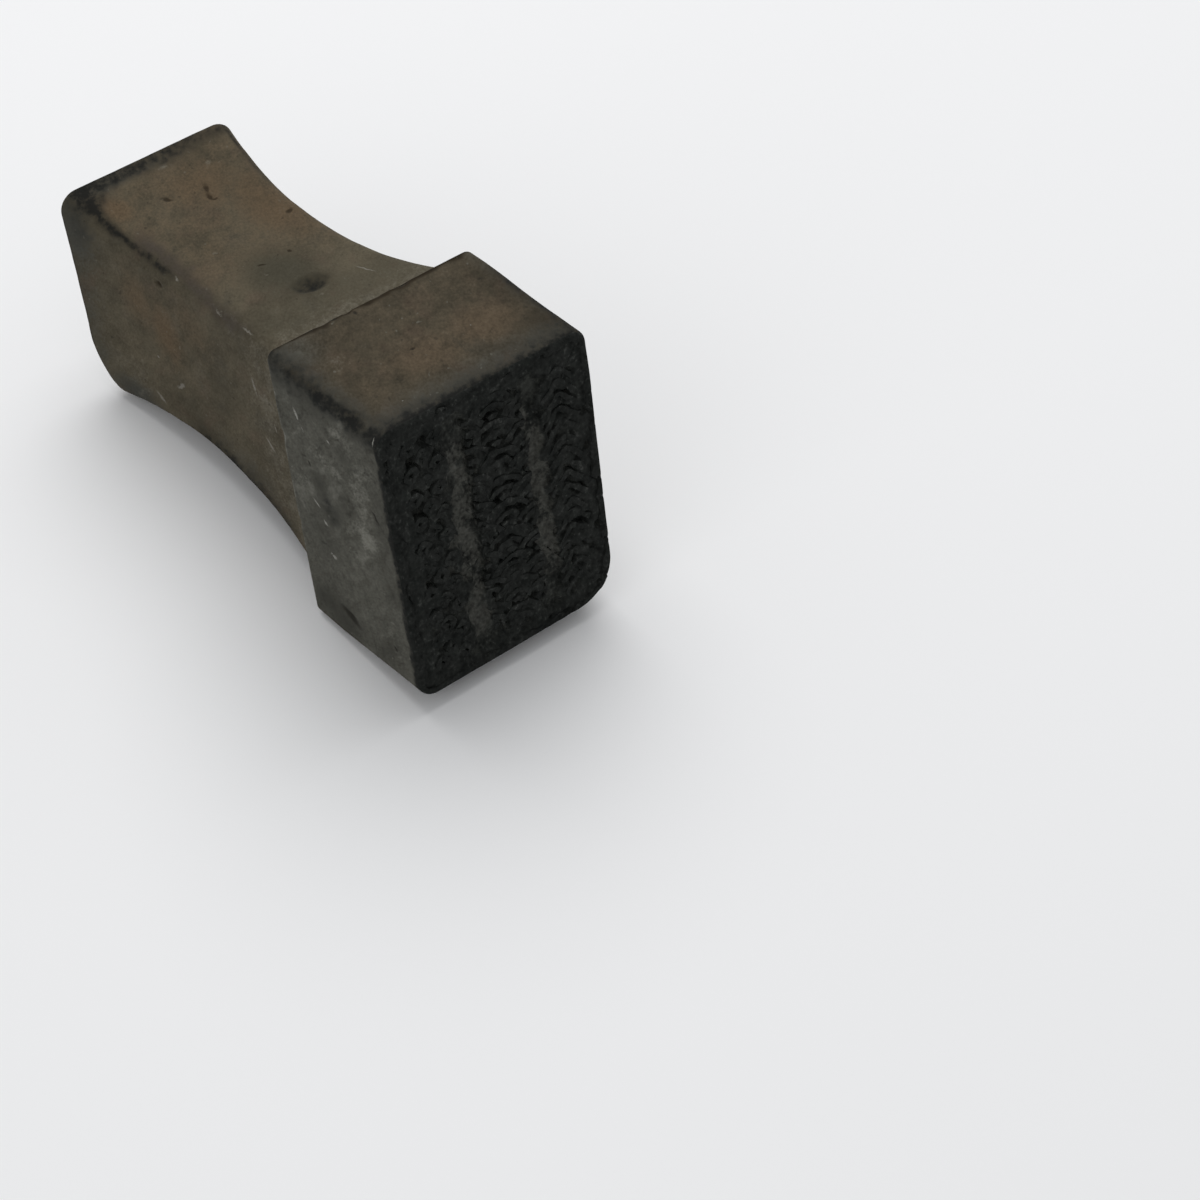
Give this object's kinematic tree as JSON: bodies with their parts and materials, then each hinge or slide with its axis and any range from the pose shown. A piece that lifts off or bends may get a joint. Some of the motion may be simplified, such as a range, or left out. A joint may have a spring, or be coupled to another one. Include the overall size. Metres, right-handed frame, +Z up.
{
  "type": "wooden hand stamp",
  "caption": "Old wooden hand stamp lying on its side: waisted grip with a thumb dimple, square head block and a carved, ink-blackened printing plate.",
  "frame": {"origin": "centre of the stamp's bounding box at desk level, with the stamp lying on the desk on the head's lower rear edge and the heel of its butt", "axes": "+Z up from the desk, -Y towards the printing face, +Y towards the butt, +X to the right as the printing face is looked at"},
  "size_m": [0.034, 0.09, 0.0484],
  "materials": {
    "grip_wood": "dark hand-worn wood with ink stains, matte",
    "head_wood": "dark ink-stained wood, matte, scratched",
    "inked_wood": "carved wood blackened by dried ink",
    "dowel_wood": "bare turned hardwood"
  },
  "bodies": {
    "root": {"grip": "grip_wood", "head_block": "head_wood", "die_plate": "inked_wood", "joint_dowels": "dowel_wood"}
  },
  "joints": []
}
